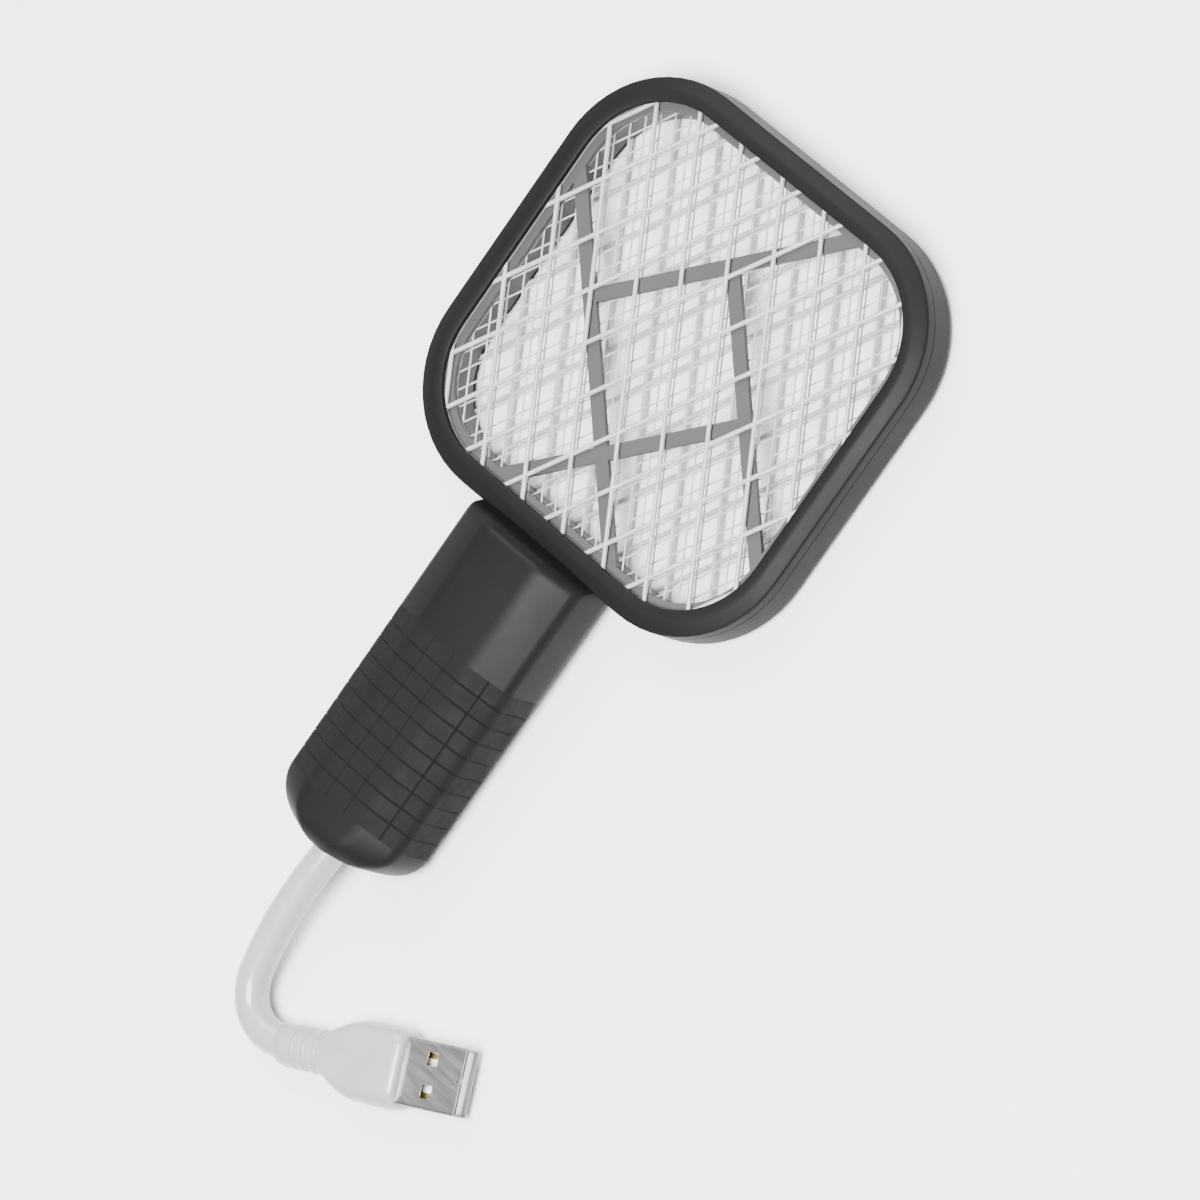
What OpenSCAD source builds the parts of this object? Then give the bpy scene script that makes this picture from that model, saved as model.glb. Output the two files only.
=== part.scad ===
// Electric fly swatter, rechargeable, with a short captive charging cord.
// Frame: X across, Y along the handle towards the head's far end, Z up out of
// the front face. The swatter lies on its back on z = 0, its length centred on y = 0.

/* [Head] */
// Overall length, handle end to head end
total_l = 147; // [130:1:190]
// Head width across X
head_w = 84.8; // [70:1:110]
// Head length along Y
head_h = 81.7; // [70:1:110]
// Head corner radius
head_r = 22; // [10:1:35]
// Head thickness
head_t = 10.4; // [9:0.1:20]
// Width of the rim seen from the front
rim_w = 4.6; // [3:0.1:8]
// Sloping outer part of the rim's face: width and drop
slope_w = 2.7; // [1:0.1:4]
slope_h = 0.85; // [0.3:0.05:2]
// Rounded rear edge of the rim
rim_edge = 1.8; // [1:0.1:4]
// Casing wall
wall = 1.8; // [1.2:0.1:3]

/* [Grids] */
// Guard diamond, across
cell_x = 10.5; // [6:0.5:16]
// Guard diamond, along
cell_y = 16.4; // [8:0.2:24]
// Guard bar width
bar_w = 0.9; // [0.6:0.1:2]
// Fine mesh diamond, across
fine_x = 3.5; // [2.5:0.5:8]
// Fine mesh diamond, along
fine_y = 5.5; // [3:0.5:10]
// Fine mesh wire radius
wire_r = 0.16; // [0.1:0.01:0.3]
// Rib width of the front spacer frame
rib_w = 2.6; // [1.5:0.1:5]
// Ribs cross this far from the head's centre, along X and Y
rib_at = 20; // [10:1:30]

/* [Handle] */
// Handle width
handle_w = 28.8; // [22:0.2:40]
// Handle thickness
handle_t = 16.7; // [13:0.1:24]
// Flat part of the handle's front
flat_w = 13.4; // [8:0.2:20]
// Drop of the handle's sloping front flanks
flank_h = 3.4; // [1:0.1:6]
// Chamfer of the handle's rear edges
rear_cut = 2.8; // [1:0.1:5]
// Length of the domed end, seen from the front
dome_l = 8.8; // [6:0.2:20]
// Soft grip starts this far behind the handle's end
grip_y0 = 8.8; // [6:0.1:20]
// Soft grip thickness
grip_t = 1; // [0.6:0.1:2]
// Rows of grip squares
grip_rows = 10; // [4:1:16]
// Row pitch
grip_row = 3.4; // [2:0.1:6]
// Column pitch
grip_col = 5; // [3:0.5:8]

/* [Button] */
// Power button radius
button_r = 4.2; // [3:0.1:6]
// Radial clearance round the button
button_gap = 0.2; // [0.1:0.05:0.5]
// Travel of the button
button_travel = 0.8; // [0.3:0.1:1]

/* [Cord and plug] */
// Cord diameter
cord_d = 6.2; // [3:0.1:8]
// Plug shell width
usb_w = 12; // [12:0.1:12]
// Plug shell thickness
usb_t = 4.5; // [4.5:0.1:4.5]
// Plug moulding length
mould_l = 16.5; // [14:0.5:26]
// Plug moulding width
mould_w = 14.4; // [13:0.2:18]

/* [Output] */
// Sub-part to build

/* [Hidden] */
$fn = 48;
y_end = -total_l/2;
head_y = total_l/2 - head_h/2;
neck_y = total_l/2 - head_h;          // outer face of the rim at the handle
rib_shift = [-0.8, -1.4];             // rib pinwheel's centre from the head's centre
split_z = 7;                          // where the two casings meet
mesh_z = 7.05;                        // plane of the live mesh
hw = handle_w/2;
dome_y = y_end + dome_l;
grip_lo = y_end + grip_y0;
grip_hi = grip_lo + grip_rows*grip_row;
front_in = rim_w;                     // front lip reaches this far in
rear_in = rim_w + 0.9;                // rear lip reaches this far in
lip_t = 1;
guard_t = 0.9;
pack_out = wall + 0.2;                // outline of everything held in the rim
pack_in = rim_w + 1.4;                // inner edge of the spacer frames
mesh_t = 0.7;
screw_in = 2.8;
head_screw = [for (sx = [-1, 1], sy = [-1, 1])
    let(c = (head_r - screw_in)*cos(45))
    [sx*(head_w/2 - head_r + c), head_y + sy*(head_h/2 - head_r + c)]];
grip_screw = [[-8.4, neck_y - 4], [8.4, neck_y - 4], [-7, y_end + 7.2], [7, y_end + 7.2]];
screw_at = concat(head_screw, grip_screw);
button_y = neck_y - 16;
led_at = [0, neck_y - 8.2];
board = [20, 23, 1];
board_z = 6.3;
board_y = neck_y - 6.5;                 // board edge nearest the head
cell = [16, 21, 8];
cell_at = [-2, y_end + 13, 2.4];
cord_z = handle_t/2;
cord_r = cord_d/2;
plug_at = [13.4, -105.5, 4.1];
plug_turn = 26;
// Cord centreline from inside the handle to the plug
route = [[0, -63.5, 8.35], [0, -68.5, 8.35], [0, -73.5, 8.35], [-0.5, -79, 8.1], [-0.9, -85, 7.5],
    [-0.9, -91, 6.7], [-0.6, -96.5, 5.7], [0.4, -101.5, 4.9], [3.2, -105.2, 4.4], [7.8, -106.8, 4.15],
    [13.4, -105.5, 4.1], [17.5, -103.5, 4.1]];

dark = [0.17, 0.17, 0.18];
grip_c = [0.12, 0.12, 0.13];
grey = [0.46, 0.46, 0.47];
pearl = [0.9, 0.9, 0.91];
steel = [0.75, 0.76, 0.78];

function arc(cx, cy, r, a0, a1, n) =
    [for (i = [0:n]) let(a = a0 + (a1 - a0)*i/n) [cx + r*cos(a), cy + r*sin(a)]];

// Rounded rectangle in plan, u inside the head's outline
module head_plan(u) {
    w = head_w - 2*u; h = head_h - 2*u; r = max(head_r - u, 0.5);
    translate([0, head_y]) union() {
        square([w - 2*r, h], center = true);
        square([w, h - 2*r], center = true);
        for (sx = [-1, 1], sy = [-1, 1])
            translate([sx*(w/2 - r), sy*(h/2 - r)]) circle(r);
    }
}

// Profile of [inset, z] points carried round the head's outline
module rim(pts) {
    q = [for (p = pts) [head_r - p[0], p[1]]];
    w = head_w/2 - head_r; h = head_h/2 - head_r;
    translate([0, head_y, 0]) {
        for (c = [[w, h, 0], [-w, h, 90], [-w, -h, 180], [w, -h, 270]])
            translate([c[0], c[1], 0]) rotate([0, 0, c[2]]) rotate_extrude(angle = 90) polygon(q);
        for (s = [[w, h, 0], [h, w, 90], [w, h, 180], [h, w, 270]])
            rotate([0, 0, s[2]]) translate([s[0], s[1], 0])
                rotate([90, 0, 0]) linear_extrude(2*s[1]) polygon(q);
    }
}

// Handle section, i inside the outer face: front and rear halves, and the whole
function front_half(i) = [[hw - i, split_z], [hw - i, handle_t - flank_h - 0.652*i],
    [flat_w/2 - 0.211*i, handle_t - i], [-flat_w/2 + 0.211*i, handle_t - i],
    [-hw + i, handle_t - flank_h - 0.652*i], [-hw + i, split_z]];
function rear_half(i) = [[-hw + i, split_z], [-hw + i, rear_cut + 0.414*i],
    [-hw + rear_cut + 0.414*i, i], [hw - rear_cut - 0.414*i, i], [hw - i, rear_cut + 0.414*i],
    [hw - i, split_z]];
function back(v) = [for (k = [len(v) - 1:-1:0]) v[k]];

module bar(y0, y1, pts) translate([0, y1, 0]) rotate([90, 0, 0]) linear_extrude(y1 - y0) polygon(pts);
module side(x, pts) translate([-x, 0, 0]) rotate([90, 0, 90]) linear_extrude(2*x) polygon(pts);
module rod(p, q, r, n = 16) {
    d = q - p; l = norm(d);
    translate(p) rotate([0, acos(d[2]/l), atan2(d[1], d[0])]) cylinder(l, r, r, $fn = n);
}
module lead(pts, r) {
    for (k = [0:len(pts) - 2]) rod(pts[k], pts[k + 1], r, 12);
    for (k = [1:len(pts) - 2]) translate(pts[k]) sphere(r, $fn = 12);
}
module at_screws(list) for (p = list) translate([p[0], p[1], 0]) children();

// Domed end of the handle: oval in plan, eased front and back
module dome_plan(i) translate([0, dome_y, -1]) linear_extrude(handle_t + 2)
    polygon(concat([for (k = [36:72]) [(hw + 0.06 - i)*cos(5*k), (dome_l - i)*sin(5*k)]],
        [[hw + 0.06 - i, dome_l], [-hw - 0.06 + i, dome_l]]));
module end_block(pts) intersection() {
    bar(y_end, grip_lo, pts);
    dome_plan(0);
    side(hw + 1, [[grip_lo + 1, 0], [grip_lo + 1, handle_t], [y_end + 4.4, handle_t],
        [y_end + 1.4, handle_t - 1.4], [y_end, handle_t - 4.4], [y_end, 4], [y_end + 1.2, 1.2],
        [y_end + 4, 0]]);
}
module hollow(pts) {
    bar(dome_y, neck_y - 2.6, pts);
    intersection() {
        bar(y_end + 2, dome_y + 0.1, pts);
        dome_plan(wall);
    }
}
module neck_slot() translate([-4.5, neck_y - 2.8, 5.6]) cube([9, 4.8, 2.8]);
module cord_hole(r) translate([0, y_end - 1, cord_z]) rotate([-90, 0, 0]) cylinder(5, r, r);

module front_casing() color(dark) difference() {
    union() {
        rim([[wall, split_z], [0, split_z], [0, head_t - slope_h - 0.5],
            [0.15, head_t - slope_h - 0.15], [0.5, head_t - slope_h + 0.1],
            [slope_w - 0.2, head_t - 0.08], [slope_w + 0.2, head_t], [front_in - 0.3, head_t],
            [front_in, head_t - 0.3], [front_in, head_t - lip_t], [wall, head_t - lip_t]]);
        difference() {
            union() {
                difference() {
                    bar(grip_hi, neck_y + wall, front_half(0));
                    side(hw + 1, [[neck_y + wall + 1, head_t - 1.8], [neck_y + 1.4, head_t - 1.7],
                        [neck_y + 0.6, head_t + 0.8], [neck_y, handle_t - 1.7],
                        [neck_y - 0.6, handle_t - 0.6], [neck_y - 1.5, handle_t - 0.1],
                        [neck_y - 2.4, handle_t], [neck_y - 2.4, handle_t + 2],
                        [neck_y + wall + 1, handle_t + 2]]);
                }
                bar(grip_lo, grip_hi, front_half(grip_t));
                end_block(front_half(0));
            }
            hollow(concat(front_half(wall + 0.4), [[-hw + wall + 0.4, split_z - 1],
                [hw - wall - 0.4, split_z - 1]]));
        }
        at_screws(grip_screw) translate([0, 0, split_z]) cylinder(handle_t - split_z - wall, 1.6, 1.6);
        at_screws(head_screw) translate([0, 0, split_z]) cylinder(head_t - lip_t - split_z + 0.1, 1.2, 1.2);
        translate([-4.6, y_end + 3.5, 12.4]) cube([9.2, 3.5, handle_t - wall - 12.2]);
    }
    at_screws(screw_at) translate([0, 0, split_z - 1]) cylinder(3, 0.7, 0.7, $fn = 24);
    neck_slot();
    cord_hole(cord_r + 0.8);
}

module rear_casing() color(dark) difference() {
    union() {
        rim(concat([[wall, split_z], [0, split_z]], arc(rim_edge, rim_edge, -rim_edge, 0, 90, 8),
            [[rear_in, 0], [rear_in, lip_t], [wall, lip_t]]));
        difference() {
            union() {
                bar(grip_hi, neck_y + wall, rear_half(0));
                bar(grip_lo, grip_hi, rear_half(grip_t));
                end_block(rear_half(0));
            }
            hollow(concat(rear_half(wall + 0.4), [[hw - wall - 0.4, split_z + 1],
                [-hw + wall + 0.4, split_z + 1]]));
        }
        at_screws(grip_screw) translate([0, 0, 1]) cylinder(split_z - 1, 1.9, 1.9);
        at_screws(head_screw) translate([0, 0, 1]) cylinder(split_z - 1, 1.75, 1.75);
        for (x = [-8, 8], y = [2.5, 20.5]) translate([x, board_y - y, 1.5])
            cylinder(board_z - 1.5, 1.2, 1.2);
        translate([-4.6, y_end + 3.5, 1.5]) cube([9.2, 3.5, split_z - 1.5]);
    }
    at_screws(screw_at) {
        translate([0, 0, -1]) cylinder(2.5, 1.3, 1.3, $fn = 24);
        translate([0, 0, 1]) cylinder(split_z, 0.78, 0.78, $fn = 24);
    }
    translate([0, button_y, -1]) cylinder(4, button_r + button_gap, button_r + button_gap);
    translate([led_at[0], led_at[1], -1]) cylinder(4, 1.4, 1.4);
    neck_slot();
    cord_hole(cord_r + 0.8);
    translate([0, y_end + 2, cord_z]) rotate([-90, 0, 0]) cylinder(6, cord_r, cord_r);
}

// Soft grip: rows of squares, cut by shallow grooves each way
groove = 0.16;
function notched(x0, z, step) = [for (k = [0:3]) let(x = x0 + step*k)
    for (e = [[-0.2, 0], [-0.2, -groove], [0.2, -groove], [0.2, 0]])
        [x + sign(step)*e[0], z + sign(z - 8)*e[1]]];
// Groove across the middle of a sloping flank, on side s
flank_a = atan(2*flank_h/(handle_w - flat_w));
function flank_notch(s) = let(m = [(hw + flat_w/2)/2, handle_t - flank_h/2],
    u = [cos(flank_a), -sin(flank_a)], n = [-u[1], u[0]]*-groove,
    q = [m - 0.2*u, m - 0.2*u + n, m + 0.2*u + n, m + 0.2*u])
    [for (k = s > 0 ? [3, 2, 1, 0] : [0, 1, 2, 3]) [s*q[k][0], q[k][1]]];
module grip_shell(outer, low, inner) for (k = [0:grip_rows - 1]) {
    bar(grip_lo + k*grip_row, grip_lo + (k + 1)*grip_row - 0.4, concat(outer, inner));
    bar(grip_lo + (k + 1)*grip_row - 0.4, grip_lo + (k + 1)*grip_row, concat(low, inner));
}
module grip_front() color(grip_c) grip_shell(
    concat([for (k = [0:1]) front_half(0)[k]], flank_notch(1), [front_half(0)[2]],
        [for (k = [0:7]) notched(grip_col/2, handle_t, -grip_col)[k]], [front_half(0)[3]],
        flank_notch(-1), [for (k = [4:5]) front_half(0)[k]]),
    front_half(groove), back(front_half(grip_t)));
module grip_rear() color(grip_c) grip_shell(
    concat([for (k = [0:2]) rear_half(0)[k]],
        notched(-1.5*grip_col, 0, grip_col), [for (k = [3:5]) rear_half(0)[k]]),
    rear_half(groove), back(rear_half(grip_t)));

// Diamond grid of straight bars, px by py from corner to corner
module diamonds(px, py, w) {
    a = atan(px/py); pitch = px*py/norm([px, py]); n = ceil((head_w + head_h)/2.4/pitch);
    translate([0, head_y]) for (s = [-1, 1], k = [-n:n])
        rotate([0, 0, s*a]) translate([k*pitch, 0]) square([w, 1.6*head_h], center = true);
}
module guard(z, lip, notch_r) color(steel) translate([0, 0, z]) difference() {
    linear_extrude(guard_t) {
        difference() { head_plan(pack_out); head_plan(lip); }
        intersection() { head_plan(pack_out + 0.6); diamonds(cell_x, cell_y, bar_w); }
    }
    at_screws(head_screw) translate([0, 0, -1]) cylinder(3, notch_r, notch_r, $fn = 24);
}
module front_guard() guard(head_t - lip_t - guard_t, rim_w - 0.1, 1.4);
module rear_guard() guard(lip_t, rear_in - 0.1, 1.95);

// Pinwheel of four ribs: two run right across, two stop where they meet them
module rib_plan() {
    c = rib_at*cos(45); l = head_w;
    translate([rib_shift[0], head_y + rib_shift[1]]) rotate([0, 0, 45]) {
        translate([-c - rib_w/2, -l]) square([rib_w, 2*l]);
        translate([c - rib_w/2, -l]) square([rib_w, l + c]);
        translate([-c, c - rib_w/2]) square([l, rib_w]);
        translate([-l, -c - rib_w/2]) square([l + c, rib_w]);
    }
}
module spacer(z0, z1, notch_r) difference() {
    union() {
        rim([[pack_out, z0], [pack_in, z0], [pack_in, z1], [pack_out, z1]]);
        children();
    }
    at_screws(head_screw) translate([0, 0, z0 - 1]) cylinder(z1 - z0 + 2, notch_r, notch_r, $fn = 24);
    translate([-3, neck_y + 2.6, z0 - 1]) cylinder(z1 - z0 + 2, 0.5, 0.5, $fn = 16);
}
front_z = mesh_z + mesh_t/2;
front_top = head_t - lip_t - guard_t;
module front_spacer() color(grey) spacer(front_z, front_top, 1.4)
    translate([0, 0, front_z + 0.05]) linear_extrude(front_top - front_z - 0.1)
        intersection() { head_plan(pack_in - 0.5); rib_plan(); }
rear_z = lip_t + guard_t;
rear_top = mesh_z - mesh_t/2;
module rear_spacer() color([0.24, 0.24, 0.25]) spacer(rear_z, rear_top, 1.95);

// Live mesh: two crossed layers of thin wire ending in a flat metal band
module centre_mesh() color([0.85, 0.86, 0.88]) {
    rim([[pack_in - 1, rear_top], [pack_in - 0.2, rear_top], [pack_in - 0.2, front_z],
        [pack_in - 1, front_z]]);
    a = atan(fine_x/fine_y); pitch = fine_x*fine_y/norm([fine_x, fine_y]);
    n = ceil((head_w + head_h)/2.5/pitch);
    intersection() {
        translate([0, head_y, mesh_z]) for (s = [-1, 1], k = [-n:n])
            rotate([0, 0, s*a]) translate([k*pitch, 0.8*head_h, s*(wire_r + 0.01)])
                rotate([90, 0, 0]) cylinder(1.6*head_h, wire_r, wire_r, $fn = 8);
        translate([0, 0, rear_top]) linear_extrude(mesh_t) head_plan(pack_in - 0.4);
    }
}

module casing_screws() color(steel) at_screws(screw_at) difference() {
    union() {
        translate([0, 0, 0.5]) cylinder(1, 1.25, 1.25, $fn = 32);
        translate([0, 0, 1.5]) cylinder(7.3, 0.68, 0.68, $fn = 24);
    }
    for (a = [0, 90]) rotate([0, 0, a]) translate([-0.8, -0.15, 0.4]) cube([1.6, 0.3, 0.6]);
}

module power_button() color([0.55, 0.56, 0.58]) translate([0, button_y, 0]) {
    translate([0, 0, 0.6]) cylinder(1.9, button_r, button_r);
    translate([0, 0, 0.3]) cylinder(0.3, button_r - 0.3, button_r, $fn = 48);
    translate([0, 0, 2.3]) cylinder(0.7, button_r + 1.1, button_r + 1.1);
    translate([0, 0, 2.9]) cylinder(0.5, 1.2, 1.2);
}
module switch_body() color([0.15, 0.15, 0.16]) translate([0, button_y, 0]) difference() {
    translate([-2.6, -2.6, 4]) cube([5.2, 5.2, board_z - 4]);
    translate([0, 0, 3.9]) cylinder(2, 1.35, 1.35, $fn = 32);
}
module switch_plunger() color([0.8, 0.75, 0.3]) translate([0, button_y, 3.4])
    cylinder(1.5, 1.25, 1.25, $fn = 32);

board_top = board_z + board[2];
module circuit_board() color([0.1, 0.35, 0.2]) difference() {
    translate([-board[0]/2, board_y - board[1], board_z]) cube(board);
    for (x = [-4, 4]) translate([x, board_y - 1.6, board_z - 1]) cylinder(3, 0.45, 0.45, $fn = 16);
}
tr = [-4.6, board_y - 16.5, board_top];
module transformer_core() color([0.2, 0.2, 0.21]) translate(tr) difference() {
    translate([-4.5, -2, 0]) cube([9, 4, 5.8]);
    for (x = [-3.2, 1.2]) translate([x, -3, 1.4]) cube([2, 6, 3.2]);
}
module transformer_winding() color([0.75, 0.4, 0.15]) translate(tr) difference() {
    translate([-3.1, -3.8, 1.5]) cube([6.2, 7.6, 3]);
    translate([-1.25, -2.05, 0]) cube([2.5, 4.1, 8]);
}
module hv_capacitor() color([0.75, 0.3, 0.12]) translate([0.9, board_y - 21.5, board_top]) {
    translate([0, 0, 0.3]) cube([8, 4.4, 5.4]);
    for (x = [1.5, 6.5]) translate([x, 2.2, 0]) cylinder(0.4, 0.3, 0.3, $fn = 12);
}
module rectifier_diodes() color([0.12, 0.12, 0.13]) for (k = [0:3])
    translate([-7.4 + 2.6*k, board_y - 4.2, board_top + 0.9]) rotate([90, 0, 0]) {
        cylinder(3.6, 0.9, 0.9, $fn = 20);
        translate([0, 0, -1]) cylinder(5.6, 0.25, 0.25, $fn = 12);
    }
module resistors() color([0.75, 0.65, 0.5]) for (k = [0:2])
    translate([3.4 + 2.4*k, board_y - 4.2, board_top + 0.8]) rotate([90, 0, 0]) {
        cylinder(3.6, 0.8, 0.8, $fn = 20);
        translate([0, 0, -1]) cylinder(5.6, 0.25, 0.25, $fn = 12);
    }
module control_chip() color([0.1, 0.1, 0.11]) translate([2.1, board_y - 16, board_top]) {
    translate([0, 0, 0.2]) cube([4, 5, 1.3]);
    for (k = [0:3]) for (x = [-0.9, 4]) translate([x, 0.6 + 1.1*k, 0]) cube([0.9, 0.4, 0.4]);
}
module oscillator_transistor() color([0.13, 0.13, 0.14])
    translate([8, board_y - 13, board_top + 1.4]) {
        intersection() {
            cylinder(4.4, 1.7, 1.7, $fn = 32);
            translate([-2, -2, 0]) cube([3.1, 4, 5]);
        }
        for (k = [-1, 0, 1]) translate([-0.2, k*0.9 - 0.2, -1.4]) cube([0.4, 0.4, 1.5]);
    }
module indicator_led() color([0.8, 0.85, 0.8]) translate([led_at[0], led_at[1], 0]) {
    translate([0, 0, 1.9]) cylinder(3, 1.2, 1.2, $fn = 32);
    translate([0, 0, 4.7]) cylinder(0.5, 1.5, 1.5, $fn = 32);
    for (x = [-0.6, 0.6]) translate([x - 0.2, -0.2, 5]) cube([0.4, 0.4, board_z - 5]);
}
module led_lens() color([0.85, 0.9, 0.9]) translate([led_at[0], led_at[1], 0.3])
    cylinder(1.6, 1.35, 1.35, $fn = 32);

module battery_cell() color([0.7, 0.72, 0.75]) translate(cell_at) {
    translate([0, 0, 0]) translate([-cell[0]/2, 0, 0]) cube([cell[0], cell[1] - 1.4, cell[2]]);
    translate([-cell[0]/2 + 0.8, cell[1] - 1.5, 0.8]) cube([cell[0] - 1.6, 1.5, cell[2] - 1.6]);
}
module battery_pad() color([0.25, 0.25, 0.27]) translate([cell_at[0] - 7, cell_at[1] + 1, wall + 0.4])
    cube([14, 18, cell_at[2] - wall - 0.4]);
module battery_leads() color([0.75, 0.1, 0.1]) for (x = [-5, 1])
    rod([x, cell_at[1] + cell[1] + 0.1, 8], [x, board_y - board[1] + 0.8, board_top + 0.46], 0.45, 12);
module charge_leads() color([0.8, 0.8, 0.82]) for (k = [-1, 1]) lead([
    [0.9*k, y_end + 9.6, cord_z], [3 + 0.8*k, y_end + 11.4, cord_z + 0.7*k],
    [9.3, y_end + 13, 8.4 + 0.7*k], [9.3, y_end + 33, 8.4 + 0.7*k],
    [8.6, board_y - board[1] + 0.8, board_top + 0.45 + 0.5*(k + 1)]], 0.4);
module mesh_leads() color([0.7, 0.12, 0.1]) {
    for (v = [[4, neck_y + pack_in - 1.05], [-3, neck_y + 2.6]]) lead([
        [sign(v[0])*4, board_y - 1.6, board_z + 0.1], [sign(v[0])*4, board_y - 1.6, board_top + 0.7],
        [sign(v[0])*4, board_y + 0.9, board_top + 0.7], [v[0], neck_y - 2, mesh_z],
        [v[0], v[1], mesh_z]], 0.3);
    translate([-3, neck_y + 2.6, rear_z]) cylinder(front_top - rear_z, 0.3, 0.3, $fn = 12);
}

module tube(r0, r1, y0, y1) translate([0, y0, cord_z]) rotate([-90, 0, 0]) difference() {
    cylinder(y1 - y0, r1, r1);
    translate([0, 0, -1]) cylinder(y1 - y0 + 2, r0, r0);
}
module cord_grommet() color(pearl) {
    tube(cord_r, cord_r + 0.75, y_end + 0.1, y_end + 2.7);
    tube(cord_r, cord_r + 1.3, y_end + 2.6, y_end + 3.3);
}
module cord_clamp() color(grey) difference() {
    translate([-4.4, y_end + 3.6, split_z + 0.1]) cube([8.8, 3.3, 12.3 - split_z]);
    translate([0, y_end + 3, cord_z]) rotate([-90, 0, 0]) cylinder(5, cord_r, cord_r);
}

// Cord: a ring of points carried along a smooth curve through the route
function smooth(p, k, t) = let(a = p[max(k - 1, 0)], b = p[k], c = p[k + 1],
    d = p[min(k + 2, len(p) - 1)])
    b + 0.5*t*((c - a) + t*((2*a - 5*b + 4*c - d) + t*(3*b - 3*c + d - a)));
steps = 4;
path = [for (k = [0:len(route) - 2]) for (j = [0:steps - 1]) smooth(route, k, j/steps),
    route[len(route) - 1]];
function ring(p, d, n) = let(u = d/norm(d), a = cross(u, [0, 0, 1]), s = a/norm(a), t = cross(s, u))
    [for (i = [0:n - 1]) p + cord_r*(s*cos(360*i/n) + t*sin(360*i/n))];
module swept(p, n) {
    m = len(p);
    pts = [for (k = [0:m - 1]) each ring(p[k], p[min(k + 1, m - 1)] - p[max(k - 1, 0)], n)];
    polyhedron(pts, concat([[for (i = [0:n - 1]) i]],
        [for (k = [0:m - 2]) for (i = [0:n - 1])
            [k*n + i, (k + 1)*n + i, (k + 1)*n + (i + 1)%n, k*n + (i + 1)%n]],
        [[for (i = [n - 1:-1:0]) (m - 1)*n + i]]));
}
module usb_cord() color(pearl) swept(path, 12);

module on_plug() translate(plug_at) rotate([0, 0, plug_turn]) children();
module plug_strain_relief() color(pearl) on_plug() rotate([0, 90, 0]) rotate_extrude()
    polygon([[cord_r, -1], [cord_r + 0.5, -1], [3.9, 0], [3.9, 2.2], [3.5, 2.5], [3.5, 3],
        [3.9, 3.3], [3.9, 4.7], [3.5, 5], [3.5, 5.5], [3.9, 5.8], [3.9, 8], [cord_r, 8]]);
mould_t = 8.2;
module plug_overmold() color(pearl) on_plug() difference() {
    intersection() {
        translate([0, 0, -mould_t/2]) linear_extrude(mould_t) polygon(concat(
            arc(13, 4.2 - 5.4, 10, 140, 100, 6), arc(17, mould_w/2 - 9, 9, 100, 76, 6),
            [[8 + mould_l, mould_w/2 - 0.9], [8 + mould_l, -mould_w/2 + 0.9]],
            arc(17, -mould_w/2 + 9, 9, -76, -100, 6), arc(13, -4.2 + 5.4, 10, -100, -140, 6)));
        translate([6, 0, 0]) rotate([90, 0, 90]) linear_extrude(mould_l + 3) union() {
            square([mould_w - 5.2, mould_t], center = true);
            square([mould_w, mould_t - 5.2], center = true);
            for (x = [-1, 1], y = [-1, 1]) translate([x*(mould_w/2 - 2.6), y*(mould_t/2 - 2.6)]) circle(2.6);
        }
        translate([8, -10, -5]) cube([mould_l, 20, 10]);
    }
    translate([7, 0, 0]) rotate([0, 90, 0]) cylinder(3.4, cord_r, cord_r);
    translate([8 + mould_l - 4, -usb_w/2, -usb_t/2]) cube([5, usb_w, usb_t]);
}
module box_tube(x0, x1, w, t, s) difference() {
    translate([x0, -w/2, -t/2]) cube([x1 - x0, w, t]);
    translate([x0 - 1, -w/2 + s, -t/2 + s]) cube([x1 - x0 + 2, w - 2*s, t - 2*s]);
}
tip = 8 + mould_l + 12;
module plug_shell() color(steel) on_plug() difference() {
    box_tube(tip - 16, tip, usb_w, usb_t, 0.3);
    for (y = [-3, 3]) translate([tip - 7.2, y - 1.25, -5]) cube([2.2, 2.5, 10]);
}
module plug_insulator() color([0.93, 0.93, 0.92]) on_plug() {
    translate([tip - 15.9, -usb_w/2 + 0.3, -usb_t/2 + 0.3]) cube([4, usb_w - 0.6, usb_t - 0.6]);
    translate([tip - 12, -usb_w/2 + 0.4, -usb_t/2 + 0.32]) cube([11.2, usb_w - 0.8, 1.9]);
}
module plug_contacts() color([0.85, 0.65, 0.25]) on_plug() for (y = [-3.5, -1, 1, 3.5])
    translate([tip - 11.8, y - 0.5, -usb_t/2 + 2.22]) cube([10.4, 1, 0.2]);

front_casing();
rear_casing();
grip_front();
grip_rear();
front_guard();
rear_guard();
front_spacer();
rear_spacer();
centre_mesh();
casing_screws();
power_button();
switch_body();
switch_plunger();
circuit_board();
transformer_core();
transformer_winding();
hv_capacitor();
rectifier_diodes();
resistors();
control_chip();
oscillator_transistor();
indicator_led();
led_lens();
battery_cell();
battery_pad();
battery_leads();
charge_leads();
mesh_leads();
cord_grommet();
cord_clamp();
usb_cord();
plug_strain_relief();
plug_overmold();
plug_shell();
plug_insulator();
plug_contacts();
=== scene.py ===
"""Electric fly swatter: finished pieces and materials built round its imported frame."""

import logging
import math
from dataclasses import dataclass, field
from enum import Enum
from typing import Iterable, Sequence

import bmesh
import bpy
from mathutils import Matrix, Vector


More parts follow.
